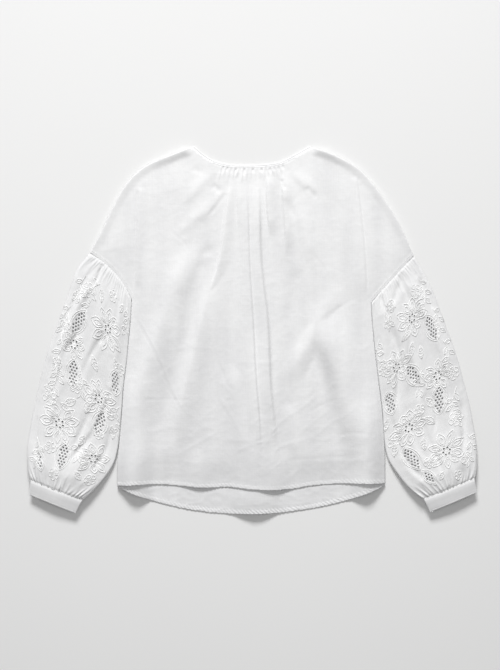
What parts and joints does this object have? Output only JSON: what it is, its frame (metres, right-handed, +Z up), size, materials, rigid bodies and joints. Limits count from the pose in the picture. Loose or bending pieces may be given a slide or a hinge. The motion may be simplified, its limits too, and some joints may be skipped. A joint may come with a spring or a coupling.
{
  "type": "embroidered blouse laid flat",
  "caption": "White cotton blouse laid flat: round gathered neck, dropped shoulders, full sleeves with whitework and cutwork, narrow cuffs, longer curved back hem.",
  "frame": {"origin": "centre of the laid-out blouse's bounding box, on the surface it lies on", "axes": "+X across the blouse towards the sleeve on the right seen from above, +Y towards the neck, +Z up off the surface"},
  "size_m": [0.8061, 0.662, 0.0191],
  "materials": {
    "front_cotton": "matt plain-weave white cotton",
    "back_cotton": "matt plain-weave white cotton",
    "binding_cotton": "matt white cotton, edge stitched",
    "sleeve_cotton": "matt white cotton with satin-stitched white embroidery and cut eyelets",
    "cuff_cotton": "matt white cotton, edge stitched"
  },
  "bodies": {
    "root": {"front_panel": "front_cotton", "back_panel": "back_cotton", "neck_binding": "binding_cotton", "sleeve_left_top": "sleeve_cotton", "sleeve_left_under": "sleeve_cotton", "sleeve_right_top": "sleeve_cotton", "sleeve_right_under": "sleeve_cotton", "cuff_left": "cuff_cotton", "cuff_right": "cuff_cotton"}
  },
  "joints": []
}
